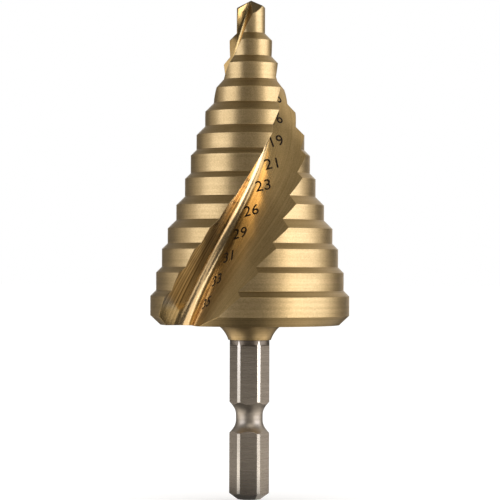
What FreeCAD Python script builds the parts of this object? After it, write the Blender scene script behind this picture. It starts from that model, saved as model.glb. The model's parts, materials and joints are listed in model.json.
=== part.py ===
import FreeCAD, Part
import math
import os
import Sketcher

# Two-flute step drill, tip up, ground from one round bar.
# The origin is the centre of the shank's end face and +Z runs along the axis to the point.
# Bearings round the axis are measured from +X, counter-clockwise as seen from the point.

# Driving sizes in millimetres and degrees

shankSizes = [
    ("endFaceDiameter", 4.1, "flat left on the shank's end"),
    ("endChamferLength", 1.06, "axial length of the turned chamfer at the shank's end"),
    ("barDiameter", 7.0, "round bar that the hexagon is ground into"),
    ("hexFlats", 6.35, "quarter-inch hexagon across its flats"),
    ("flatLength", 27.13, "height at which the six flats stop"),
    ("flatCornerRadius", 1.0, "rounding at the upper corners of each flat"),
    ("grooveHeight", 14.36, "middle of the quick-change groove"),
    ("grooveSideAngle", 39.24, "sides of the groove, from the axis"),
    ("grooveFloorDiameter", 4.7, "bottom of the groove"),
    ("grooveFloorLength", 0.8, "straight part of the groove's bottom"),
    ("grooveFilletRadius", 2.6, "blend between the groove's bottom and its sides"),
]

collarSizes = [
    ("collarLength", 2.67, "flared collar along the axis"),
    ("collarBaseDiameter", 7.5, "collar at its lower edge"),
    ("collarTopDiameter", 11.5, "collar where it meets the head"),
    ("collarSweepRadius", 5.2, "hollow curve of the collar"),
]

headSizes = [
    ("headBase", 30.63, "height of the head's flat underside"),
    ("undersideDiameter", 31.5, "underside inside the back chamfer"),
    ("backChamferLength", 1.64, "axial length of the back chamfer"),
    ("rimLength", 3.4, "cylindrical land of the widest step"),
    ("stepPitch", 4.112, "distance from one shoulder to the next"),
    ("stepChamferAngle", 45.0, "chamfer between two steps, from the axis"),
]

# Steps from the underside to the point
stepSizes = [
    ("stepDiameter1", 35.0, "widest step"),
    ("stepDiameter2", 33.0, "marked 33"),
    ("stepDiameter3", 31.0, "marked 31"),
    ("stepDiameter4", 29.0, "marked 29"),
    ("stepDiameter5", 26.0, "marked 26"),
    ("stepDiameter6", 23.0, "marked 23"),
    ("stepDiameter7", 21.0, "marked 21"),
    ("stepDiameter8", 19.0, "marked 19"),
    ("stepDiameter9", 16.0, "marked 16"),
    ("stepDiameter10", 13.0, "marked 13"),
    ("stepDiameter11", 10.0, "last but two"),
    ("stepDiameter12", 7.5, "last but one"),
    ("stepDiameter13", 5.0, "narrowest step, which carries the point"),
]
stepCount = len(stepSizes)

pointSizes = [
    ("pilotLength", 5.8, "narrowest step with its point, above the last shoulder"),
    ("pointAngle", 128.0, "included angle of the two lips"),
    ("lipRelief", 13.8, "fall of the facet behind each lip"),
    ("heelFall", 48.0, "slope of the second facet, behind the first"),
    ("heelTurn", 134.0, "bearing of that slope, measured back from its lip"),
    ("heelClearance", 0.12, "height at which the second facet's plane passes over the point"),
]

# Each of the flute's sizes is given at the point and at the head's underside
fluteSizes = [
    ("fluteCount", 2, "flutes and lips round the axis"),
    ("fluteBearing", 34.45, "bearing of the first cutting edge at the point"),
    ("fluteTurn", 188.84, "turn of each flute from the point to the underside"),
    ("fluteStraightening", 82.07, "extra turn near the point, given back near the underside"),
    ("coreAtPoint", 0.2, "distance from the axis to the flute's floor"),
    ("coreAtBase", 13.13, "the same distance at the underside"),
    ("crestAtPoint", 0.1, "distance from the cutting face to the floor's highest line"),
    ("crestAtBase", 8.66, "the same distance at the underside"),
    ("rootAtPoint", 0.5, "blend between cutting face and floor"),
    ("rootAtBase", 2.4, "the same blend at the underside"),
    ("crownAtPoint", 8.0, "radius of the floor's gentle crown"),
    ("crownAtBase", 15.0, "the same radius at the underside"),
    ("crownSwell", 6.1, "how much more the crown's radius grows half way"),
    ("wheelClearance", 1.0, "how far the grinding wheel passes outside the metal"),
    ("wheelOverrun", 1.5, "how far the wheel runs past the point and the underside"),
]

sizes = shankSizes + collarSizes + headSizes + stepSizes + pointSizes + fluteSizes
axial = FreeCAD.Vector(0, 0, 1)

# Heights that follow from the sizes, written with @ before each name of the table
collarBase = "(@headBase - @collarLength)"
pilotDiameter = "@stepDiameter%d" % stepCount


def chamferFall(number):
    """Axial length of the chamfer between one step and the next."""
    return "(@stepDiameter%d - @stepDiameter%d) / 2 / tan(@stepChamferAngle * 1 deg)" % (number, number + 1)


firstShoulder = "(@headBase + @backChamferLength + @rimLength + %s)" % chamferFall(1)
tipHeight = "(%s + %d * @stepPitch + @pilotLength)" % (firstShoulder, stepCount - 2)

doc = FreeCAD.newDocument("StepDrill")
sheet = doc.addObject("Spreadsheet::Sheet", "Sizes")
for row, (name, size, note) in enumerate(sizes, start=1):
    sheet.set("A%d" % row, name)
    sheet.set("B%d" % row, str(size))
    sheet.set("C%d" % row, note)
    sheet.setAlias("B%d" % row, name)
doc.recompute()

drill = doc.addObject("PartDesign::Body", "StepDrillBody")
drill.Label = "step_drill"


def fromSheet(formula):
    """Writes each name marked with @ as a cell of the table of sizes."""
    return formula.replace("@", "Sizes.")


def worth(formula):
    """Works out a formula of the table, in millimetres or degrees."""
    result = sheet.evalExpression(formula.replace("@", ""))
    return getattr(result, "Value", result)


def originFeature(role):
    """Finds one of the body's own planes or axes."""
    return next(item for item in drill.Origin.OriginFeatures if item.Role == role)


def addSketch(name, plane):
    """Makes a sketch on one of the body's own planes."""
    sketch = drill.newObject("Sketcher::SketchObject", name)
    sketch.AttachmentSupport = [(originFeature(plane), "")]
    sketch.MapMode = "FlatFace"
    return sketch


def turnSketch(sketch, axis, formula):
    """Turns a sketch in or about its plane by a formula in degrees."""
    turn = FreeCAD.Rotation(axis, worth(formula))
    sketch.AttachmentOffset = FreeCAD.Placement(FreeCAD.Vector(), turn)
    sketch.setExpression("AttachmentOffset.Rotation.Angle", fromSheet(formula))


def offsetSketch(sketch, path, formula):
    """Ties one part of a sketch's offset from its plane to the table."""
    sketch.setExpression("AttachmentOffset." + path, fromSheet(formula))


def addEdges(sketch, corners):
    """Draws straight edges through the corners and back to the first."""
    for number, corner in enumerate(corners):
        following = corners[(number + 1) % len(corners)]
        sketch.addGeometry(Part.LineSegment(corner, following), False)
    for number in range(len(corners)):
        constrain(sketch, [("Coincident", number, 2, (number + 1) % len(corners), 1)])


def addArc(sketch, centre, radius, first, last):
    """Draws an arc counter-clockwise between two angles."""
    arc = Part.ArcOfCircle(Part.Circle(centre, axial, radius), first, last)
    sketch.addGeometry(arc, False)
    return arc


def constrain(sketch, constraints):
    for constraint in constraints:
        sketch.addConstraint(Sketcher.Constraint(*constraint))


def dimension(sketch, name, formula, *constraint):
    """Adds a dimension to a sketch and ties it to the table."""
    index = sketch.addConstraint(Sketcher.Constraint(*constraint))
    sketch.renameConstraint(index, name)
    sketch.setExpression("Constraints." + name, fromSheet(formula))


def polarPattern(name, feature, count):
    """Repeats a cut evenly round the axis."""
    pattern = drill.newObject("PartDesign::PolarPattern", name)
    pattern.Originals = [feature]
    pattern.Axis = (originFeature("Z_Axis"), [""])
    pattern.Angle = 360.0
    pattern.setExpression("Occurrences", fromSheet(count))
    drill.Tip = pattern
    return pattern


def settle(*objects):
    """Recomputes and stops if a sketch or feature has failed."""
    doc.recompute()
    for item in objects:
        if "Invalid" in item.State or "Error" in item.State:
            raise RuntimeError(item.Name + " failed: " + ", ".join(item.State))


def checkCut(feature, before):
    """Stops if a cut has removed nothing."""
    if before - feature.Shape.Volume < 1e-3:
        raise RuntimeError(feature.Name + " removes no metal")


# Turned blank: each corner of the half section is a name, a distance from the axis and a height

corners = [
    ("axisFoot", "0", "0"),
    ("endFace", "@endFaceDiameter / 2", "0"),
    ("endChamfer", "@barDiameter / 2", "@endChamferLength"),
    ("barTop", "@barDiameter / 2", collarBase),
    ("collarFoot", "@collarBaseDiameter / 2", collarBase),
    ("collarTop", "@collarTopDiameter / 2", "@headBase"),
    ("underside", "@undersideDiameter / 2", "@headBase"),
    ("backEdge", "@stepDiameter1 / 2", "@headBase + @backChamferLength"),
]
for number in range(1, stepCount):
    wide = "@stepDiameter%d / 2" % number
    narrow = "@stepDiameter%d / 2" % (number + 1)
    shoulder = "%s + %d * @stepPitch" % (firstShoulder, number - 1)
    corners.append(("edge%d" % number, wide, "%s - %s" % (shoulder, chamferFall(number))))
    corners.append(("shoulder%d" % number, narrow, shoulder))
corners.append(("pilotTop", pilotDiameter + " / 2", tipHeight))
corners.append(("axisTop", "0", tipHeight))

collarEdge = [name for name, across, height in corners].index("collarFoot")
points = [FreeCAD.Vector(worth(across), worth(height), 0) for name, across, height in corners]
collarFoot = points[collarEdge]
collarTop = points[collarEdge + 1]
chord = collarTop - collarFoot
outward = FreeCAD.Vector(chord.y, -chord.x, 0).normalize()
sweepRadius = worth("@collarSweepRadius")
sweepReach = math.sqrt(sweepRadius ** 2 - (chord.Length / 2) ** 2)
sweepCentre = (collarFoot + collarTop) / 2 + outward * sweepReach


def angleFrom(centre, point):
    return math.atan2(point.y - centre.y, point.x - centre.x)


# The collar's hollow runs counter-clockwise from its top to its foot, so its ends are the other way round
blankSketch = addSketch("BlankSection", "XZ_Plane")
for number, point in enumerate(points):
    if number == collarEdge:
        addArc(blankSketch, sweepCentre, sweepRadius, angleFrom(sweepCentre, collarTop),
               angleFrom(sweepCentre, collarFoot))
    else:
        following = points[(number + 1) % len(points)]
        blankSketch.addGeometry(Part.LineSegment(point, following), False)
for number, (name, across, height) in enumerate(corners):
    previous = (number - 1) % len(corners)
    previousEnd = 1 if previous == collarEdge else 2
    start = 2 if number == collarEdge else 1
    constrain(blankSketch, [("Coincident", previous, previousEnd, number, start)])
    if across == "0":
        constrain(blankSketch, [("PointOnObject", number, start, -2)])
    else:
        dimension(blankSketch, name + "Across", across, "DistanceX", -1, 1, number, start, worth(across))
    if height == "0":
        constrain(blankSketch, [("PointOnObject", number, start, -1)])
    else:
        dimension(blankSketch, name + "Height", height, "DistanceY", -1, 1, number, start, worth(height))
dimension(blankSketch, "collarSweep", "@collarSweepRadius", "Radius", collarEdge, sweepRadius)

blank = drill.newObject("PartDesign::Revolution", "Blank")
blank.Profile = blankSketch
blank.ReferenceAxis = (originFeature("Z_Axis"), [""])
blank.Angle = 360.0
settle(blankSketch, blank)

# Quick-change groove round the shank, with its own middle line as the sketch's level.
# Its mouth opens as wide as its depth, its fillets and the slope of its sides make it.

grooveDepth = "(@barDiameter - @grooveFloorDiameter) / 2"
sideLean = "@grooveSideAngle * 1 deg"
sideRun = "(@grooveFilletRadius - (@grooveFilletRadius - %s) * cos(%s)) / sin(%s)"
grooveMouth = "@grooveFloorLength + 2 * %s" % (sideRun % (grooveDepth, sideLean, sideLean))
grooveSketch = addSketch("GrooveSection", "XZ_Plane")
offsetSketch(grooveSketch, "Base.y", "@grooveHeight")
barRadius = worth("@barDiameter / 2")
floorRadius = worth("@grooveFloorDiameter / 2")
halfMouth = worth(grooveMouth) / 2
halfFloor = worth("@grooveFloorLength / 2")
grooveFillet = worth("@grooveFilletRadius")
sideTurn = math.radians(worth("@grooveSideAngle"))
filletAcross = floorRadius + grooveFillet
lowMouth = FreeCAD.Vector(barRadius, -halfMouth, 0)
highMouth = FreeCAD.Vector(barRadius, halfMouth, 0)
lowCentre = FreeCAD.Vector(filletAcross, -halfFloor, 0)
highCentre = FreeCAD.Vector(filletAcross, halfFloor, 0)
grooveSketch.addGeometry(Part.LineSegment(lowMouth, highMouth), False)
highFillet = addArc(grooveSketch, highCentre, grooveFillet, math.pi - sideTurn, math.pi)
lowFillet = addArc(grooveSketch, lowCentre, grooveFillet, math.pi, math.pi + sideTurn)
grooveSketch.addGeometry(Part.LineSegment(highMouth, highFillet.StartPoint), False)
grooveSketch.addGeometry(Part.LineSegment(highFillet.EndPoint, lowFillet.StartPoint), False)
grooveSketch.addGeometry(Part.LineSegment(lowFillet.EndPoint, lowMouth), False)
constrain(grooveSketch, [
    ("Coincident", 0, 2, 3, 1), ("Tangent", 3, 2, 1, 1), ("Tangent", 1, 2, 4, 1), ("Tangent", 4, 2, 2, 1),
    ("Tangent", 2, 2, 5, 1), ("Coincident", 5, 2, 0, 1), ("Equal", 1, 2),
    ("Symmetric", 0, 1, 0, 2, -1), ("Symmetric", 4, 1, 4, 2, -1),
])
dimension(grooveSketch, "mouthRadius", "@barDiameter / 2", "DistanceX", -1, 1, 0, 1, barRadius)
dimension(grooveSketch, "mouthWidth", grooveMouth, "DistanceY", 0, 1, 0, 2, 2 * halfMouth)
dimension(grooveSketch, "floorRadius", "@grooveFloorDiameter / 2", "DistanceX", -1, 1, 4, 1, floorRadius)
dimension(grooveSketch, "floorLength", "@grooveFloorLength", "DistanceY", 4, 2, 4, 1, 2 * halfFloor)
dimension(grooveSketch, "filletRadius", "@grooveFilletRadius", "Radius", 1, grooveFillet)

groove = drill.newObject("PartDesign::Groove", "QuickChangeGroove")
groove.Profile = grooveSketch
groove.ReferenceAxis = (originFeature("Z_Axis"), [""])
groove.Angle = 360.0
settle(grooveSketch, groove)
checkCut(groove, blank.Shape.Volume)

# Hexagon: a flat's outline lies in the flat itself, and everything outside it is ground away.
# The outline reaches the hexagon's corners, or the bar's surface where that lies further out.

flatReach = "max(@hexFlats / 2 / sqrt(3); sqrt(@barDiameter ^ 2 - @hexFlats ^ 2) / 2)"
flatSketch = addSketch("FlatOutline", "XZ_Plane")
offsetSketch(flatSketch, "Base.z", "@hexFlats / 2")
halfSide = worth(flatReach)
flatTop = worth("@flatLength")
flatCorner = worth("@flatCornerRadius")
leftCentre = FreeCAD.Vector(flatCorner - halfSide, flatTop - flatCorner, 0)
rightCentre = FreeCAD.Vector(halfSide - flatCorner, flatTop - flatCorner, 0)
leftFoot = FreeCAD.Vector(-halfSide, -flatCorner, 0)
rightFoot = FreeCAD.Vector(halfSide, -flatCorner, 0)
flatSketch.addGeometry(Part.LineSegment(leftFoot, rightFoot), False)
rightArc = addArc(flatSketch, rightCentre, flatCorner, 0, math.pi / 2)
leftArc = addArc(flatSketch, leftCentre, flatCorner, math.pi / 2, math.pi)
flatSketch.addGeometry(Part.LineSegment(rightFoot, rightArc.StartPoint), False)
flatSketch.addGeometry(Part.LineSegment(rightArc.EndPoint, leftArc.StartPoint), False)
flatSketch.addGeometry(Part.LineSegment(leftArc.EndPoint, leftFoot), False)
constrain(flatSketch, [
    ("Coincident", 0, 2, 3, 1), ("Tangent", 3, 2, 1, 1), ("Tangent", 1, 2, 4, 1), ("Tangent", 4, 2, 2, 1),
    ("Tangent", 2, 2, 5, 1), ("Coincident", 5, 2, 0, 1), ("Vertical", 3), ("Equal", 1, 2),
    ("Symmetric", 0, 1, 0, 2, -2), ("Symmetric", 4, 1, 4, 2, -2),
])
dimension(flatSketch, "halfSide", flatReach, "DistanceX", -1, 1, 0, 2, halfSide)
dimension(flatSketch, "pastEnd", "@flatCornerRadius", "DistanceY", 0, 2, -1, 1, flatCorner)
dimension(flatSketch, "flatTop", "@flatLength", "DistanceY", -1, 1, 4, 1, flatTop)
dimension(flatSketch, "cornerRadius", "@flatCornerRadius", "Radius", 1, flatCorner)

flat = drill.newObject("PartDesign::Pocket", "Flat")
flat.Profile = flatSketch
flat.Reversed = True
flat.setExpression("Length", fromSheet("(@barDiameter - @hexFlats)"))
settle(flatSketch, flat)
checkCut(flat, groove.Shape.Volume)
hexagon = polarPattern("Hexagon", flat, "6")
settle(hexagon)
checkCut(hexagon, flat.Shape.Volume)

# Point: behind each lip a facet with little fall, and behind that a steep one down to the heel


def pointFacet(name, above, bearing, slope):
    """Cuts the nose above a plane that passes over the axis and falls towards a bearing."""
    sketch = addSketch(name + "Wedge", "XZ_Plane")
    turnSketch(sketch, FreeCAD.Vector(0, 1, 0), bearing)
    offsetSketch(sketch, "Base.y", "%s + %s" % (tipHeight, above))
    span = worth(pilotDiameter)
    drop = span * worth(slope)
    addEdges(sketch, [
        FreeCAD.Vector(-span, 2 * span, 0),
        FreeCAD.Vector(-span, drop, 0),
        FreeCAD.Vector(span, -drop, 0),
        FreeCAD.Vector(span, 2 * span, 0),
    ])
    constrain(sketch, [("Vertical", 0), ("Vertical", 2), ("Horizontal", 3), ("PointOnObject", -1, 1, 1)])
    dimension(sketch, "inside", pilotDiameter, "DistanceX", 1, 1, -1, 1, span)
    dimension(sketch, "outside", pilotDiameter, "DistanceX", -1, 1, 1, 2, span)
    dimension(sketch, "above", "2 * " + pilotDiameter, "DistanceY", -1, 1, 3, 1, 2 * span)
    dimension(sketch, "drop", "2 * %s * %s" % (pilotDiameter, slope), "DistanceY", 1, 2, 1, 1, 2 * drop)
    facet = drill.newObject("PartDesign::Pocket", name)
    facet.Profile = sketch
    facet.Midplane = True
    facet.setExpression("Length", fromSheet("2 * " + pilotDiameter))
    settle(sketch, facet)
    pair = polarPattern(name + "Pair", facet, "@fluteCount")
    settle(pair)
    checkCut(pair, facet.Shape.Volume)


lipSlope = "(1 / tan(@pointAngle / 2 * 1 deg))"
reliefSlope = "tan(@lipRelief * 1 deg)"
lipBearing = "@fluteBearing * 1 deg - atan(%s / %s)" % (reliefSlope, lipSlope)
pointFacet("LipFacet", "0", lipBearing, "sqrt(%s ^ 2 + %s ^ 2)" % (lipSlope, reliefSlope))
pointFacet("HeelFacet", "@heelClearance", "(@fluteBearing - @heelTurn) * 1 deg", "tan(@heelFall * 1 deg)")

# Flute: a loft through sections that turn, deepen and widen on their way down from the point.
# Each section has the cutting face on its own X axis, the root blend, the crowned floor and an open side.

sectionCount = 12
run = "(%s - @headBase)" % tipHeight


def between(name, share):
    """One of the flute's sizes at a share of the way from the point to the underside."""
    return "@%sAtPoint + (@%sAtBase - @%sAtPoint) * %s" % (name, name, name, share)


def fluteSection(number):
    """Draws the flute's section at one depth below the point."""
    whole = number / (sectionCount - 1)
    depth = "(%s * %s + %s * @wheelOverrun)" % (whole, run, 2 * whole - 1)
    share = "(%s / %s)" % (depth, run)
    turned = "@fluteTurn * " + share
    eased = "@fluteStraightening * %s * (1 - %s)" % (share, share)
    bearing = "(@fluteBearing - %s - %s) * 1 deg" % (turned, eased)
    reachFormula = "@stepDiameter1 / 2 + @wheelClearance"
    across = "(%s + (@stepDiameter1 - %s) * %s)" % (pilotDiameter, pilotDiameter, share)
    openFormula = across + " / 2 + @wheelClearance"
    coreFormula = between("core", share)
    crestFormula = between("crest", share)
    rootFormula = between("root", share)
    crownFormula = between("crown", share) + " + 4 * @crownSwell * %s * (1 - %s)" % (share, share)
    reach = worth(reachFormula)
    openSide = worth(openFormula)
    core = worth(coreFormula)
    crest = worth(crestFormula)
    root = worth(rootFormula)
    crown = worth(crownFormula)

    sketch = addSketch("FluteSection%02d" % (number + 1), "XY_Plane")
    turnSketch(sketch, axial, bearing)
    offsetSketch(sketch, "Base.z", "%s - %s" % (tipHeight, depth))
    crownCentre = FreeCAD.Vector(core - crown, crest, 0)
    blendRise = math.asin((root - crest) / (crown + root))
    rootCentre = FreeCAD.Vector(crownCentre.x + (crown + root) * math.cos(blendRise), root, 0)
    heelRise = math.asin((openSide - crest) / crown)
    outer = FreeCAD.Vector(reach, openSide, 0)
    face = Part.LineSegment(FreeCAD.Vector(reach, 0, 0), FreeCAD.Vector(rootCentre.x, 0, 0))
    sketch.addGeometry(face, False)
    addArc(sketch, rootCentre, root, math.pi + blendRise, 1.5 * math.pi)
    floor = addArc(sketch, crownCentre, crown, blendRise, heelRise)
    sketch.addGeometry(Part.LineSegment(floor.EndPoint, outer), False)
    sketch.addGeometry(Part.LineSegment(outer, face.StartPoint), False)
    sketch.addGeometry(Part.Point(FreeCAD.Vector(core, crest, 0)), True)
    constrain(sketch, [
        ("Tangent", 0, 2, 1, 2), ("Tangent", 1, 1, 2, 1), ("Coincident", 2, 2, 3, 1),
        ("Coincident", 3, 2, 4, 1), ("Coincident", 4, 2, 0, 1), ("PointOnObject", 0, 1, -1),
        ("Horizontal", 0), ("Horizontal", 3), ("Vertical", 4), ("PointOnObject", 5, 1, 2),
        ("Horizontal", 5, 1, 2, 3),
    ])
    dimension(sketch, "reach", reachFormula, "DistanceX", -1, 1, 0, 1, reach)
    dimension(sketch, "openSide", openFormula, "DistanceY", -1, 1, 3, 2, openSide)
    dimension(sketch, "core", coreFormula, "DistanceX", -1, 1, 5, 1, core)
    dimension(sketch, "crest", crestFormula, "DistanceY", -1, 1, 5, 1, crest)
    dimension(sketch, "rootBlend", rootFormula, "Radius", 1, root)
    dimension(sketch, "crown", crownFormula, "Radius", 2, crown)
    return sketch


sections = [fluteSection(number) for number in range(sectionCount)]
settle(*sections)
nose = drill.Shape.Volume
flute = drill.newObject("PartDesign::SubtractiveLoft", "Flute")
flute.Profile = sections[0]
flute.Sections = sections[1:]
settle(flute)
checkCut(flute, nose)
flutes = polarPattern("Flutes", flute, "@fluteCount")
settle(flutes)
checkCut(flutes, flute.Shape.Volume)

# Check and write the one solid

for item in doc.Objects:
    if "Invalid" in item.State or "Error" in item.State:
        raise RuntimeError(item.Name + " failed")
shape = drill.Shape
if shape.isNull() or not shape.isValid() or len(shape.Solids) != 1:
    raise RuntimeError("the drill is not one valid solid")
box = shape.optimalBoundingBox()
print(drill.Label, "%.2f x %.2f x %.2f mm" % (box.XLength, box.YLength, box.ZLength))
print("volume %.0f cubic mm" % shape.Volume)
os.makedirs("parts", exist_ok=True)
shape.exportStep("parts/" + drill.Label + ".step")
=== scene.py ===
import bpy
import json
import math
from mathutils import Matrix, Quaternion, Vector

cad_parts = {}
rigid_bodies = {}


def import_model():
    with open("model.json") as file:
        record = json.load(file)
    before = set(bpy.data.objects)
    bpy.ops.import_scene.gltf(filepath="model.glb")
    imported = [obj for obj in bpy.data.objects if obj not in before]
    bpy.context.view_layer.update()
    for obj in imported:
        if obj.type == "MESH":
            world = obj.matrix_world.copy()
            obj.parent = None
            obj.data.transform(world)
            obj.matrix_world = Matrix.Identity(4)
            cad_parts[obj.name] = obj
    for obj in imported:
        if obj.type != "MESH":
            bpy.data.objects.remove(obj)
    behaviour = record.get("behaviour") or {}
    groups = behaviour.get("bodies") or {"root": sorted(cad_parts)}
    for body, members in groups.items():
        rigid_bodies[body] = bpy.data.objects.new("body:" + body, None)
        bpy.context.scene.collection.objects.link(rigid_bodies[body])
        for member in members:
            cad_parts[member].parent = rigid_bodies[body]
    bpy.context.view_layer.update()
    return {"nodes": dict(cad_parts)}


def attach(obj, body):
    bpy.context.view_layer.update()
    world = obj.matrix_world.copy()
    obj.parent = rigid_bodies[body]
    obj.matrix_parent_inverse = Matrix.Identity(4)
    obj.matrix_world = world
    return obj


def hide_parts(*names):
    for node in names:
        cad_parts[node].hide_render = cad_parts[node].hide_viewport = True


# Step drill, tip up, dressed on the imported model. The drill's own sizes are in millimetres, the studio's are
# in metres, and angles are in degrees.

mm = 0.001

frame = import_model()


# Short ways to add shader nodes

def addNode(tree, kind, inputs=None, **settings):
    node = tree.nodes.new(kind)
    for name, value in settings.items():
        setattr(node, name, value)
    for name, value in (inputs or {}).items():
        feed(tree, node.inputs[name], value)
    return node


def feed(tree, socket, value):
    # a socket is linked and anything else is set as the socket's own value
    if isinstance(value, bpy.types.NodeSocket):
        tree.links.new(value, socket)
    else:
        socket.default_value = value


def calc(tree, operation, *values):
    node = addNode(tree, "ShaderNodeMath", operation=operation)
    for socket, value in zip(node.inputs, values):
        feed(tree, socket, value)
    return node.outputs[0]


def plus(tree, first, second):
    return calc(tree, "ADD", first, second)


def minus(tree, first, second):
    return calc(tree, "SUBTRACT", first, second)


def times(tree, first, second):
    return calc(tree, "MULTIPLY", first, second)


def inMillimetres(tree, value):
    return times(tree, value, 1.0 / mm)


def combine(tree, x, y, z):
    node = addNode(tree, "ShaderNodeCombineXYZ", {"X": x, "Y": y, "Z": z})
    return node.outputs[0]


def ramp(tree, factor, low, high, outLow=0.0, outHigh=1.0):
    node = addNode(tree, "ShaderNodeMapRange", {"Value": factor, "From Min": low, "From Max": high,
                                                "To Min": outLow, "To Max": outHigh})
    return node.outputs[0]


def blendColour(tree, factor, first, second):
    # the node has its sockets once for each kind of data, so those for colours are found by their number
    node = addNode(tree, "ShaderNodeMix", data_type="RGBA")
    feed(tree, node.inputs[0], factor)
    feed(tree, node.inputs[6], first)
    feed(tree, node.inputs[7], second)
    return node.outputs[2]


def opaque(colour):
    return colour + (1.0,)


def noise(tree, vector, scale, detail, roughness):
    node = addNode(tree, "ShaderNodeTexNoise", {"Vector": vector, "Scale": scale, "Detail": detail,
                                                "Roughness": roughness})
    return node.outputs["Fac"]


def newGroup(name, inputs, outputs):
    # every socket is a number: the inputs come with their values, and the outputs as a list of names
    tree = bpy.data.node_groups.new(name, "ShaderNodeTree")
    for label, value in inputs.items():
        socket = tree.interface.new_socket(label, in_out="INPUT", socket_type="NodeSocketFloat")
        socket.default_value = value
    for label in outputs:
        tree.interface.new_socket(label, in_out="OUTPUT", socket_type="NodeSocketFloat")
    return tree, tree.nodes.new("NodeGroupInput"), tree.nodes.new("NodeGroupOutput")


def useGroup(tree, group, **values):
    node = addNode(tree, "ShaderNodeGroup", node_tree=group)
    for name, value in values.items():
        feed(tree, node.inputs[name], value)
    return node


def position(tree):
    coordinates = addNode(tree, "ShaderNodeTexCoord")
    return coordinates.outputs["Object"]


# Lathe lines: fine rings round the axis, a little broken up. The cells are those of the noise: so many to
# the metre round the axis, and for the wide bands a share of the fine lines' own along it.

latheLaw = {"pitch": 0.12, "cellsAround": 25.0, "detail": 3.0, "roughness": 0.6,
            "bandCellsAround": 12.0, "bandShareAlong": 0.22, "bandDetail": 2.0, "bandRoughness": 0.5}


def makeLatheLines():
    tree, inside, outside = newGroup("latheLines", {"Pitch": latheLaw["pitch"]}, ["Lines", "Bands"])
    parts = addNode(tree, "ShaderNodeSeparateXYZ", {"Vector": position(tree)})
    x, y, z = parts.outputs
    along = calc(tree, "DIVIDE", inMillimetres(tree, z), inside.outputs["Pitch"])
    fine = combine(tree, times(tree, x, latheLaw["cellsAround"]),
                   times(tree, y, latheLaw["cellsAround"]), along)
    feed(tree, outside.inputs["Lines"], noise(tree, fine, 1.0, latheLaw["detail"], latheLaw["roughness"]))
    wide = combine(tree, times(tree, x, latheLaw["bandCellsAround"]),
                   times(tree, y, latheLaw["bandCellsAround"]),
                   times(tree, along, latheLaw["bandShareAlong"]))
    feed(tree, outside.inputs["Bands"],
         noise(tree, wide, 1.0, latheLaw["bandDetail"], latheLaw["bandRoughness"]))
    return tree


# Coating grain: the fine powdery speckle of the coat, and its slow change of tone in cells to the metre

coatLaw = {"grain": 0.20, "speckleDetail": 2.0, "speckleRoughness": 0.7,
           "toneScale": 140.0, "toneDetail": 3.0, "toneRoughness": 0.55}


def makeCoatGrain():
    tree, inside, outside = newGroup("coatGrain", {"Grain": coatLaw["grain"]}, ["Speckle", "Tone"])
    at = position(tree)
    scale = calc(tree, "DIVIDE", 1.0 / mm, inside.outputs["Grain"])
    feed(tree, outside.inputs["Speckle"],
         noise(tree, at, scale, coatLaw["speckleDetail"], coatLaw["speckleRoughness"]))
    feed(tree, outside.inputs["Tone"],
         noise(tree, at, coatLaw["toneScale"], coatLaw["toneDetail"], coatLaw["toneRoughness"]))
    return tree


# Grinding lines: they follow the flute, so the section's own axes are turned with it. Depth is counted down
# from the tip, outward from the drill's axis, and across from the cutting face towards the flute's floor.

# The same group gives the masks of the painted shade on the deep cutting face and of the painted highlight at
# the root, which the face and root values bound.
fluteLaw = {"tipHeight": 87.7, "bearing": 34.45, "twistRate": 4.747, "twistEase": 0.0252,
            "deepening": 0.2265, "crest": 0.1, "crestWidening": 0.15, "floorStart": 0.62, "floorBlend": 1.2,
            "rootStart": 0.9, "rootEnd": 1.6, "rootTop": 8.0, "rootFull": 24.0,
            "faceStart": 0.05, "faceEnd": 0.25, "faceTop": 28.0, "faceFull": 42.0,
            "faceGoing": 53.0, "faceBase": 54.6}

# a kind of line is its name, its fineness, its cells to the millimetre of depth, and its detail
grindingLaw = {"spacing": 0.2, "roughness": 0.6,
               "kinds": [("Lines", 1.0, 0.07, 3.0), ("Streaks", 0.6, 0.02, 4.0)]}


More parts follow.
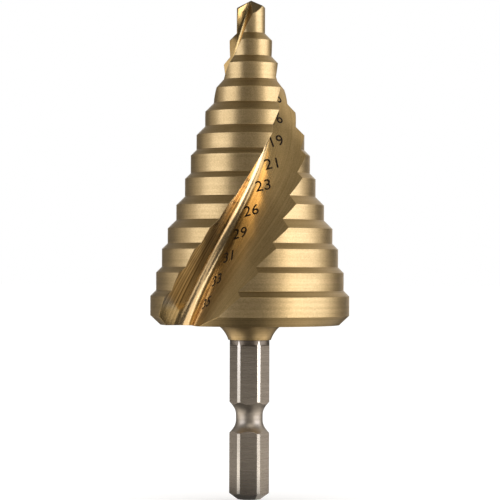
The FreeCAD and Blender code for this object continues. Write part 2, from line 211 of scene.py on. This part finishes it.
def makeFluteLinesAndPaintedLight():
    tree, inside, outside = newGroup("fluteLinesAndPaintedLight", {"Spacing": grindingLaw["spacing"]},
                                     ["Lines", "Streaks", "Floor", "DeepFaceShade", "RootHighlight"])
    parts = addNode(tree, "ShaderNodeSeparateXYZ", {"Vector": position(tree)})
    x, y, z = [inMillimetres(tree, output) for output in parts.outputs]
    depth = minus(tree, fluteLaw["tipHeight"], z)
    eased = minus(tree, times(tree, depth, fluteLaw["twistEase"]), fluteLaw["twistRate"])
    turn = calc(tree, "RADIANS", plus(tree, times(tree, eased, depth), fluteLaw["bearing"]))
    cosine = calc(tree, "COSINE", turn)
    sine = calc(tree, "SINE", turn)
    # the second flute is the first one turned half way round, so both signs change together
    outward = calc(tree, "ABSOLUTE", plus(tree, times(tree, x, cosine), times(tree, y, sine)))
    across = calc(tree, "ABSOLUTE", minus(tree, times(tree, y, cosine), times(tree, x, sine)))
    level = minus(tree, outward, times(tree, depth, fluteLaw["deepening"]))
    for label, fineness, lengthwise, detail in grindingLaw["kinds"]:
        cells = calc(tree, "DIVIDE", fineness, inside.outputs["Spacing"])
        point = combine(tree, times(tree, level, cells), times(tree, across, cells),
                        times(tree, depth, lengthwise))
        feed(tree, outside.inputs[label], noise(tree, point, 1.0, detail, grindingLaw["roughness"]))
    # the polished root ends, and the rougher ground floor begins, a share of the way to the floor's crest
    crest = plus(tree, times(tree, depth, fluteLaw["crestWidening"]), fluteLaw["crest"])
    past = minus(tree, across, times(tree, crest, fluteLaw["floorStart"]))
    feed(tree, outside.inputs["Floor"], ramp(tree, past, 0.0, fluteLaw["floorBlend"]))
    # the cutting face is flat up to the root, and where it is deep its colour is painted dark: painted shade
    # in the deep flute
    faceShadeAcross = ramp(tree, across, fluteLaw["faceEnd"], fluteLaw["faceStart"])
    paintedFaceShade = times(tree, faceShadeAcross, ramp(tree, depth, fluteLaw["faceTop"], fluteLaw["faceFull"]))
    aboveBase = ramp(tree, depth, fluteLaw["faceBase"], fluteLaw["faceGoing"])
    feed(tree, outside.inputs["DeepFaceShade"], times(tree, paintedFaceShade, aboveBase))
    # the root beside it gets a painted highlight, a brighter colour, and that begins some way below the point
    rootHighlightMask = times(tree, ramp(tree, across, fluteLaw["rootEnd"], fluteLaw["rootStart"]),
                     ramp(tree, depth, fluteLaw["rootTop"], fluteLaw["rootFull"]))
    feed(tree, outside.inputs["RootHighlight"], times(tree, rootHighlightMask, minus(tree, 1.0, paintedFaceShade)))
    return tree


latheLines = makeLatheLines()
coatGrain = makeCoatGrain()
fluteLinesAndPaintedLight = makeFluteLinesAndPaintedLight()


# Materials: one metal with its own colours, gloss and lines for each kind of surface. The colours of the
# chamfers, of the flute's cutting face and of its root also hold painted shade and painted highlight.

finishes = {
    "coatedLand": {"colour": (0.69, 0.51, 0.27), "dark": (0.50, 0.36, 0.175), "gloss": 0.35, "powder": 0.55,
                   "lines": "lathe", "spacing": 0.11, "depth": 0.18},
    # the chamfers and the head's back face are coloured darker than the lands: partly a darker coat, partly
    # painted shade for faces that look up or down
    "chamferCoatAndShade": {"colour": (0.54, 0.385, 0.185), "dark": (0.38, 0.265, 0.11), "gloss": 0.33,
                      "powder": 0.4, "lines": "lathe", "spacing": 0.09, "depth": 0.14},
    # the deep cutting face of the flute gets a dark streaky colour, which is painted shade
    "groundFlute": {"colour": (0.70, 0.50, 0.235), "dark": (0.47, 0.32, 0.13), "gloss": 0.33,
                    "lines": "grinding", "spacing": 0.22, "depth": 0.34,
                    # the root's brighter colour is a painted highlight, and its lower roughness is its polish
                    "root": (0.96, 0.69, 0.375), "rootGloss": 0.18, "face": (0.48, 0.39, 0.265),
                    "faceShadeDark": (0.10, 0.082, 0.058), "faceStreaks": (0.36, 0.60), "faceGloss": 0.31},
    "groundPoint": {"colour": (0.42, 0.31, 0.16), "dark": (0.30, 0.215, 0.10), "gloss": 0.30,
                    "lines": "grinding", "spacing": 0.12, "depth": 0.12},
    "coatedCollar": {"colour": (0.58, 0.42, 0.22), "dark": (0.43, 0.305, 0.14), "gloss": 0.36,
                     "lines": "lathe", "spacing": 0.12, "depth": 0.12},
    "bareFlat": {"colour": (0.57, 0.495, 0.42), "dark": (0.44, 0.38, 0.32), "gloss": 0.28,
                 "lines": "lathe", "spacing": 0.14, "depth": 0.13},
    # the shank's top, just under the collar and the head, is coloured much darker than the rest of the shank
    "darkNeckBand": {"colour": (0.24, 0.205, 0.17), "dark": (0.15, 0.125, 0.10), "gloss": 0.34,
                 "lines": "lathe", "spacing": 0.12, "depth": 0.10},
    "bareRound": {"colour": (0.66, 0.62, 0.57), "dark": (0.57, 0.53, 0.48), "gloss": 0.17,
                  "lines": "lathe", "spacing": 0.10, "depth": 0.03},
    "bareGroove": {"colour": (0.52, 0.46, 0.39), "dark": (0.42, 0.37, 0.315), "gloss": 0.38,
                   "lines": "lathe", "spacing": 0.12, "depth": 0.10},
}

# what the finishes share: the tone's make-up, where it goes from dark to bright, how much the lines roughen
# the gloss, the height of the grain and of the whole bump, and the rounding of the edges
everyFinish = {"powder": 0.35, "bandShare": 0.6, "toneShare": 0.4, "toneRange": (0.40, 0.60),
               "lineRange": (0.3, 0.7), "roughening": (0.85, 1.2), "grainHeight": 0.35, "bumpHeight": 0.02,
               "edgeRadius": 0.16, "edgeSamples": 4}


def makeFinish(name, look):
    material = bpy.data.materials.new(name)
    material.use_nodes = True
    tree = material.node_tree
    shader = tree.nodes["Principled BSDF"]
    if look["lines"] == "lathe":
        marks = useGroup(tree, latheLines, Pitch=look["spacing"])
        bands = marks.outputs["Bands"]
    else:
        marks = useGroup(tree, fluteLinesAndPaintedLight, Spacing=look["spacing"])
        bands = marks.outputs["Streaks"]
    grain = useGroup(tree, coatGrain, Grain=coatLaw["grain"])
    powder = look.get("powder", everyFinish["powder"])
    tone = plus(tree, times(tree, bands, everyFinish["bandShare"]),
                times(tree, grain.outputs["Tone"], everyFinish["toneShare"]))
    mottled = plus(tree, times(tree, tone, 1.0 - powder), times(tree, grain.outputs["Speckle"], powder))
    colour = blendColour(tree, ramp(tree, mottled, *everyFinish["toneRange"]),
                         opaque(look["dark"]), opaque(look["colour"]))
    gloss = look["gloss"]
    if "root" in look:
        # the root gets a painted highlight in its colour
        colour = blendColour(tree, marks.outputs["RootHighlight"], colour, opaque(look["root"]))
        # the deep cutting face gets painted shade: a dark colour with streaks
        faceShadeColour = blendColour(tree, ramp(tree, bands, *look["faceStreaks"]),
                                 opaque(look["faceShadeDark"]), opaque(look["face"]))
        colour = blendColour(tree, marks.outputs["DeepFaceShade"], colour, faceShadeColour)
        gloss = ramp(tree, marks.outputs["Floor"], 0.0, 1.0, look["rootGloss"], look["gloss"])
        gloss = calc(tree, "MAXIMUM", gloss, times(tree, marks.outputs["DeepFaceShade"], look["faceGloss"]))
    unevenness = ramp(tree, marks.outputs["Lines"], *everyFinish["lineRange"], *everyFinish["roughening"])
    height = plus(tree, marks.outputs["Lines"],
                  times(tree, grain.outputs["Speckle"], everyFinish["grainHeight"]))
    edges = addNode(tree, "ShaderNodeBevel", {"Radius": everyFinish["edgeRadius"] * mm},
                    samples=everyFinish["edgeSamples"])
    bump = addNode(tree, "ShaderNodeBump", {"Height": height, "Strength": look["depth"],
                                            "Distance": everyFinish["bumpHeight"] * mm,
                                            "Normal": edges.outputs["Normal"]})
    feed(tree, shader.inputs["Base Color"], colour)
    feed(tree, shader.inputs["Roughness"], times(tree, unevenness, gloss))
    feed(tree, shader.inputs["Metallic"], 1.0)
    feed(tree, shader.inputs["Normal"], bump.outputs["Normal"])
    return material


materials = {name: makeFinish(name, look) for name, look in finishes.items()}
print("materials made:", len(materials))


# The drill's body: a merged copy of the CAD solid, with each surface given its finish by its place and slope

drillSizes = {
    "stepDiameters": [35.0, 33.0, 31.0, 29.0, 26.0, 23.0, 21.0, 19.0, 16.0, 13.0, 10.0, 7.5, 5.0],
    "grooveLow": 11.0, "grooveHigh": 17.1, "grooveRadius": 3.0, "flatRadius": 3.45, "neckBase": 26.6,
    "collarBase": 27.96, "headBase": 30.63, "backChamferTop": 32.27,
    "lastChamferTop": 84.2, "pilotTop": 85.2, "mergeDistance": 0.0001,
}

# how near a face comes to a surface that it belongs to. A slope is how far the face's normal points up or
# down, and facing is 1 where the face looks straight away from the axis.
nearness = {"height": 0.01, "axis": 1e-6, "grooveSlope": 0.02, "flatSlope": 0.01, "landSlope": 0.02,
            "landRadius": 0.06, "landFacing": 0.97, "chamferSlope": 0.04, "chamferFacing": 0.6,
            "backSlope": 0.6, "backFacing": 0.5, "pointSlope": 0.3}


def finishOf(centre, normal):
    z = centre.z / mm
    radius = math.hypot(centre.x, centre.y) / mm
    facing = 0.0
    if radius > nearness["axis"]:
        facing = (normal.x * centre.x + normal.y * centre.y) / (radius * mm)
    slope = abs(normal.z)
    if z < drillSizes["collarBase"] + nearness["height"]:
        return shankFinishOf(z, radius, slope)
    if z < drillSizes["headBase"] + nearness["height"]:
        return "coatedCollar"
    onStep = any(abs(radius - size / 2) < nearness["landRadius"] for size in drillSizes["stepDiameters"])
    if onStep and slope < nearness["landSlope"] and facing > nearness["landFacing"]:
        return "coatedLand"
    isChamfer = abs(slope - math.sqrt(0.5)) < nearness["chamferSlope"]  # all chamfers are cut at 45 degrees
    # chamfers and the head's back face get the darker colour with painted shade
    if isChamfer and facing > nearness["chamferFacing"] and z < drillSizes["lastChamferTop"]:
        return "chamferCoatAndShade"
    isBack = slope > nearness["backSlope"] and facing > nearness["backFacing"]
    if isBack and z < drillSizes["backChamferTop"]:
        return "chamferCoatAndShade"
    if z > drillSizes["pilotTop"] and normal.z > nearness["pointSlope"]:
        return "groundPoint"
    return "groundFlute"


def shankFinishOf(z, radius, slope):
    isSunk = slope > nearness["grooveSlope"] or radius < drillSizes["grooveRadius"]
    if isSunk and drillSizes["grooveLow"] < z < drillSizes["grooveHigh"]:
        return "bareGroove"
    # the top of the shank gets the much darker colour
    if z > drillSizes["neckBase"]:
        return "darkNeckBand"
    isFlat = slope < nearness["flatSlope"] and radius < drillSizes["flatRadius"]
    return "bareFlat" if isFlat else "bareRound"


def copyOfNode(nodeName, pieceName):
    node = frame["nodes"][nodeName]
    bpy.ops.object.select_all(action="DESELECT")
    piece = node.copy()
    piece.data = node.data.copy()
    piece.name = pieceName
    piece.parent = None
    for key in list(piece.keys()):
        if key.startswith("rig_"):
            del piece[key]
    bpy.context.scene.collection.objects.link(piece)
    piece.matrix_world = Matrix.Identity(4)
    piece.hide_render = False
    piece.select_set(True)
    bpy.context.view_layer.objects.active = piece
    return piece


drill = copyOfNode("step_drill", "drillBody")
bpy.ops.object.mode_set(mode="EDIT")
bpy.ops.mesh.select_all(action="SELECT")
bpy.ops.mesh.remove_doubles(threshold=drillSizes["mergeDistance"] * mm, use_sharp_edge_from_normals=True)
bpy.ops.object.mode_set(mode="OBJECT")
drill.data.materials.clear()
order = list(finishes)
for name in order:
    drill.data.materials.append(materials[name])
for face in drill.data.polygons:
    face.material_index = order.index(finishOf(face.center, face.normal))
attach(drill, "root")
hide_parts("step_drill")
print("drill body:", len(drill.data.vertices), "points,", len(drill.data.polygons), "faces, custom normals",
      drill.data.has_custom_normals)


# Size marks: the diameters in millimetres, burnt dark into the flute beside their steps. Each is its number,
# its height, its distance across the flute from the cutting edge's line, and its lean in degrees.

sizeMarks = {
    "letterHeight": 1.98, "capitalShare": 0.7, "spacing": 1.08, "bolder": 0.014, "curveSteps": 4, "cuts": 2,
    "outside": 30.0, "clearance": 1.0, "lift": 0.03, "thickness": 0.03,
    "places": [("13", 70.36, 2.1, 13.0), ("16", 66.6, 2.0, 13.0), ("19", 62.62, 2.67, 13.0),
               ("21", 58.65, 3.2, 10.0), ("23", 54.79, 3.15, 12.0), ("26", 50.44, 3.22, 13.0),
               ("29", 46.51, 3.46, 14.0), ("31", 42.53, 4.04, 18.0), ("33", 38.52, 4.4, 21.0),
               ("35", 34.59, 5.5, 21.0)],
}
burntLook = {"colour": (0.06, 0.045, 0.035), "dark": (0.03, 0.022, 0.017), "gloss": 0.55,
             "lines": "lathe", "spacing": 0.12, "depth": 0.2}


def fluteTurnAt(height):
    depth = fluteLaw["tipHeight"] - height
    rate = fluteLaw["twistRate"] - fluteLaw["twistEase"] * depth
    return math.radians(fluteLaw["bearing"] - rate * depth)


def addMark(number, height, across, lean):
    # a line from outside the drill finds the mark's place and the way that the flute faces there
    turn = fluteTurnAt(height)
    outward = Vector((math.cos(turn), math.sin(turn), 0.0))
    sideways = Vector((-math.sin(turn), math.cos(turn), 0.0))
    start = (outward * sizeMarks["outside"] + sideways * across) * mm + Vector((0.0, 0.0, height * mm))
    place, normal = drill.ray_cast(start, -outward)[1:3]
    level = Vector((0.0, 0.0, 1.0)).cross(normal).normalized()
    along = Matrix.Rotation(math.radians(lean), 3, normal) @ level
    upward = normal.cross(along)
    bpy.ops.object.select_all(action="DESELECT")
    bpy.ops.object.text_add()
    mark = bpy.context.active_object
    mark.name = "sizeMark" + number
    mark.data.body = number
    mark.data.align_x = "CENTER"
    mark.data.align_y = "CENTER"
    mark.data.size = sizeMarks["letterHeight"] * mm / sizeMarks["capitalShare"]
    mark.data.space_character = sizeMarks["spacing"]
    mark.data.resolution_u = sizeMarks["curveSteps"]
    mark.data.offset = sizeMarks["bolder"] * mm
    bpy.ops.object.convert(target="MESH")
    bpy.ops.object.mode_set(mode="EDIT")
    bpy.ops.mesh.select_all(action="SELECT")
    bpy.ops.mesh.quads_convert_to_tris()
    bpy.ops.mesh.subdivide(number_cuts=sizeMarks["cuts"])
    bpy.ops.object.mode_set(mode="OBJECT")
    # it is laid on the flute from a little way off, and its thickness goes back towards the steel
    turned = Matrix((along, upward, normal)).transposed().to_4x4()
    mark.matrix_world = Matrix.Translation(place + normal * sizeMarks["clearance"] * mm) @ turned
    wrap = mark.modifiers.new("wrap", "SHRINKWRAP")
    wrap.target = drill
    wrap.wrap_method = "PROJECT"
    wrap.use_project_z = True
    wrap.use_negative_direction = True
    wrap.use_positive_direction = False
    wrap.offset = sizeMarks["lift"] * mm
    bpy.ops.object.modifier_apply(modifier="wrap")
    solid = mark.modifiers.new("solid", "SOLIDIFY")
    solid.thickness = sizeMarks["thickness"] * mm
    solid.offset = -1.0
    bpy.ops.object.modifier_apply(modifier="solid")
    bpy.ops.object.transform_apply(location=True, rotation=True, scale=True)
    return mark


marks = [addMark(*place) for place in sizeMarks["places"]]
bpy.ops.object.select_all(action="DESELECT")
for mark in marks:
    mark.select_set(True)
bpy.context.view_layer.objects.active = marks[0]
bpy.ops.object.join()
numbers = bpy.context.active_object
numbers.name = "sizeNumbers"
numbers.data.materials.clear()
numbers.data.materials.append(makeFinish("burntMark", burntLook))
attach(numbers, "root")
print("size marks:", len(sizeMarks["places"]), "with", len(numbers.data.polygons), "faces")


# Studio: white floor and surroundings, two soft boxes, and cards round the object that only reflections see.
# Bearing 0 is the camera's side, and bearings grow towards the right of the picture.

studio = {"cameraBearing": 2.2, "glowColour": (1.0, 0.94, 0.85)}


def aroundObject(bearing, distance, height):
    turn = math.radians(bearing + studio["cameraBearing"])
    return Vector((math.sin(turn) * distance, -math.cos(turn) * distance, height))


def bearingOf(point):
    turned = math.degrees(math.atan2(point.x, -point.y)) - studio["cameraBearing"]
    return (turned + 180.0) % 360.0 - 180.0


def stagePiece(name):
    piece = bpy.context.active_object
    piece.name = name
    return piece


def glowingMaterial(name, colour):
    # a matt material, given with its nodes and with the socket for the strength of its glow
    material = bpy.data.materials.new(name)
    material.use_nodes = True
    shader = material.node_tree.nodes["Principled BSDF"]
    shader.inputs["Base Color"].default_value = opaque(colour)
    shader.inputs["Roughness"].default_value = 1.0
    shader.inputs["Specular IOR Level"].default_value = 0.0
    shader.inputs["Emission Color"].default_value = opaque(studio["glowColour"])
    return material, material.node_tree, shader.inputs["Emission Strength"]


studioFloor = {"radius": 4.0, "sides": 96, "height": -0.0006, "colour": (0.96, 0.96, 0.96), "glow": 0.12}


def makeFloor():
    # the camera alone sees the floor's glow, which makes the background white
    bpy.ops.object.select_all(action="DESELECT")
    bpy.ops.mesh.primitive_circle_add(vertices=studioFloor["sides"], radius=studioFloor["radius"],
                                      fill_type="NGON", location=(0, 0, studioFloor["height"]))
    floor = stagePiece("studioFloor")
    white, tree, strength = glowingMaterial("whiteFloor", studioFloor["colour"])
    path = addNode(tree, "ShaderNodeLightPath")
    feed(tree, strength, times(tree, path.outputs["Is Camera Ray"], studioFloor["glow"]))
    floor.data.materials.append(white)


makeFloor()
print("floor laid")


# Cards: faces of a dome and of a table top, each of which glows as strongly as its own value says. A card is
# its name, its lowest and highest bearing, its lowest and highest elevation, or on the table its nearest and
# farthest place, and its glow. The first card that a face lies in counts.

cardColour = (0.03, 0.03, 0.03)

cardDome = {
    "radius": 0.75, "height": 0.045, "segments": 90, "rings": 60, "lowest": -0.0675,
    "gapHalfAngle": 14.0, "gapTop": 30.0, "glow": 0.12,
    "cards": [
        ("aboveCamera", -14.0, 46.0, 22.0, 36.0, 1.5),
        ("boxSideLow", 36.0, 50.0, -12.0, 3.0, 1.7),
        ("boxSide", 38.0, 50.0, 3.0, 14.0, 0.5),
        ("besideCamera", 22.0, 38.0, 3.0, 12.0, 0.20),
        ("besideCameraLow", 20.0, 36.0, -12.0, 3.0, 0.75),
        ("camera", -40.0, 22.0, -12.0, 12.0, 0.03),
        ("leftOfCamera", -45.0, 2.0, 12.0, 36.0, 0.08),
        ("rightEnd", 96.0, 118.0, -12.0, 22.0, 0.80),
        ("rearRightHigh", 92.0, 166.0, 22.0, 74.0, 0.66),
        ("rearRightEnd", 148.0, 170.0, -12.0, 22.0, 0.60),
        ("rearRightLow", 118.0, 148.0, -12.0, 22.0, 0.10),
        ("rearLeftHigh", -166.0, -92.0, 22.0, 74.0, 0.29),
        ("rearLeftLow", -170.0, -118.0, -12.0, 22.0, 0.10),
        ("leftEnd", -118.0, -96.0, -12.0, 22.0, 0.45),
        ("upperLeft", -92.0, -30.0, 36.0, 60.0, 0.15),
        ("upperMiddle", -30.0, 40.0, 36.0, 60.0, 0.36),
        ("upperRight", 40.0, 92.0, 36.0, 60.0, 0.27),
    ],
}
cardTable = {
    "sectors": 72, "height": -0.0003, "glow": 0.06,
    "rings": [0.012, 0.02, 0.03, 0.045, 0.06, 0.08, 0.105, 0.13, 0.16, 0.2, 0.26, 0.45, 0.75],
    "cards": [
        ("nearRight", 30.0, 110.0, 0.02, 0.045, 0.8),
        ("nearLeft", -110.0, -30.0, 0.02, 0.045, 0.8),
        ("middleFarRight", 50.0, 110.0, 0.045, 0.08, 1.7),
        ("middleFarLeft", -110.0, -50.0, 0.045, 0.08, 1.7),
        ("nearFront", -5.0, 30.0, 0.045, 0.08, 0.80),
        ("frontLeft", -30.0, 2.0, 0.13, 0.26, 0.70),
        ("frontRight", 5.0, 30.0, 0.08, 0.13, 0.50),
        ("middleRight", 30.0, 50.0, 0.08, 0.20, 1.20),
        ("boxFoot", 36.0, 64.0, 0.26, 0.75, 3.3),
        ("farRight", 30.0, 110.0, 0.08, 0.75, 0.80),
        ("underRight", 40.0, 130.0, 0.006, 0.02, 0.35),
        ("farLeft", -110.0, -30.0, 0.08, 0.75, 0.95),
        ("behindRight", 110.0, 145.0, 0.03, 0.3, 0.45),
        ("behindLeft", -145.0, -110.0, 0.03, 0.3, 0.32),
    ],
}


def makeCardMaterial():
    material, tree, strength = glowingMaterial("reflectionCard", cardColour)
    value = addNode(tree, "ShaderNodeAttribute", attribute_name="glow")
    feed(tree, strength, value.outputs["Fac"])
    return material


def cardGlow(cards, bearing, reach, otherwise):
    for name, low, high, near, far, glow in cards:
        inside = low <= bearing <= high or low <= bearing + 360.0 <= high
        if inside and near <= reach <= far:
            return glow
    return otherwise


def elevationOf(point):
    return math.degrees(math.asin(point.z / point.length))


def distanceOf(point):
    return math.hypot(point.x, point.y)


def finishCards(piece, values, reachOf):
    # only reflections see the piece, so it neither hides nor shades anything
    glows = [cardGlow(values["cards"], bearingOf(face.center), reachOf(face.center), values["glow"])
             for face in piece.data.polygons]
    glowOfFaces = piece.data.attributes.new("glow", "FLOAT", "FACE")
    glowOfFaces.data.foreach_set("value", glows)
    piece.data.materials.clear()
    piece.data.materials.append(cardMaterial)
    piece.visible_camera = False
    piece.visible_shadow = False
    piece.visible_diffuse = False


def makeDome():
    # a gap behind the object shows the white surroundings, and the table takes the place of the lower half.
    # A face's place is counted from the dome's middle.
    bpy.ops.object.select_all(action="DESELECT")
    bpy.ops.mesh.primitive_uv_sphere_add(segments=cardDome["segments"], ring_count=cardDome["rings"],
                                         radius=cardDome["radius"], location=(0, 0, cardDome["height"]))
    dome = stagePiece("cardDome")
    bpy.ops.object.mode_set(mode="EDIT")
    bpy.ops.mesh.select_mode(type="FACE")
    bpy.ops.mesh.select_all(action="DESELECT")
    bpy.ops.object.mode_set(mode="OBJECT")
    for face in dome.data.polygons:
        isBehind = abs(bearingOf(face.center)) > 180.0 - cardDome["gapHalfAngle"]
        isGap = isBehind and elevationOf(face.center) < cardDome["gapTop"]
        face.select = isGap or face.center.z < cardDome["lowest"]
    bpy.ops.object.mode_set(mode="EDIT")
    bpy.ops.mesh.delete(type="FACE")
    bpy.ops.object.mode_set(mode="OBJECT")
    finishCards(dome, cardDome, elevationOf)


def makeTable():
    # concentric rings round the object, each drawn out of the last
    rings = cardTable["rings"]
    bpy.ops.object.select_all(action="DESELECT")
    bpy.ops.mesh.primitive_circle_add(vertices=cardTable["sectors"], radius=rings[0], fill_type="TRIFAN",
                                      location=(0, 0, cardTable["height"]))
    table = stagePiece("cardTable")
    bpy.ops.object.mode_set(mode="EDIT")
    bpy.ops.mesh.select_all(action="SELECT")
    bpy.ops.mesh.region_to_loop()
    for inner, outer in zip(rings, rings[1:]):
        bpy.ops.mesh.extrude_edges_move()
        bpy.ops.transform.resize(value=(outer / inner, outer / inner, 1.0))
    bpy.ops.mesh.select_all(action="SELECT")
    bpy.ops.mesh.normals_make_consistent(inside=False)
    bpy.ops.object.mode_set(mode="OBJECT")
    finishCards(table, cardTable, distanceOf)


cardMaterial = makeCardMaterial()
makeDome()
makeTable()
print("cards set:", len(cardDome["cards"]), "on the dome and", len(cardTable["cards"]), "on the table")


# Lamps and surroundings

softBoxes = {
    "colour": (0.98, 1.0, 1.08),
    "left": {"bearing": -66.0, "distance": 0.62, "width": 0.56, "height": 0.27, "power": 0.82},
    "right": {"bearing": 72.0, "distance": 0.62, "width": 0.60, "height": 0.27, "power": 1.20},
}


def addSoftBox(name, box):
    # it stands on the floor and faces the drill's axis
    place = aroundObject(box["bearing"], box["distance"], box["height"] / 2)
    data = bpy.data.lights.new(name, "AREA")
    data.shape = "RECTANGLE"
    data.size = box["width"]
    data.size_y = box["height"]
    data.energy = box["power"]
    data.color = softBoxes["colour"]
    lamp = bpy.data.objects.new(name, data)
    bpy.context.scene.collection.objects.link(lamp)
    lamp.location = place
    level = Vector((-place.x, -place.y, 0.0))
    lamp.rotation_euler = level.to_track_quat("-Z", "Y").to_euler()
    lamp.visible_camera = False


def makeWorld():
    world = bpy.data.worlds.new("whiteSurroundings")
    bpy.context.scene.world = world
    world.use_nodes = True
    background = world.node_tree.nodes["Background"]
    background.inputs["Color"].default_value = (1.0, 1.0, 1.0, 1.0)
    background.inputs["Strength"].default_value = 1.0


addSoftBox("softBoxLeft", softBoxes["left"])
addSoftBox("softBoxRight", softBoxes["right"])
makeWorld()


# Camera: it looks at a point on the drill's axis, and the roll turns the picture

photoCamera = {"distance": 0.380, "height": 0.0411, "aimHeight": 0.04377, "roll": 0.24,
               "lens": 155.4, "sensor": 36.0, "nearest": 0.01, "farthest": 50.0}


def addCamera():
    data = bpy.data.cameras.new("photoCamera")
    data.lens = photoCamera["lens"]
    data.sensor_width = photoCamera["sensor"]
    data.clip_start = photoCamera["nearest"]
    data.clip_end = photoCamera["farthest"]
    camera = bpy.data.objects.new("photoCamera", data)
    bpy.context.scene.collection.objects.link(camera)
    camera.location = aroundObject(0.0, photoCamera["distance"], photoCamera["height"])
    look = Vector((0.0, 0.0, photoCamera["aimHeight"])) - camera.location
    lean = Quaternion((0.0, 0.0, 1.0), math.radians(photoCamera["roll"]))
    camera.rotation_mode = "QUATERNION"
    camera.rotation_quaternion = look.to_track_quat("-Z", "Y") @ lean
    bpy.context.scene.camera = camera


addCamera()
bpy.context.scene.view_settings.view_transform = "Standard"
print("studio ready")
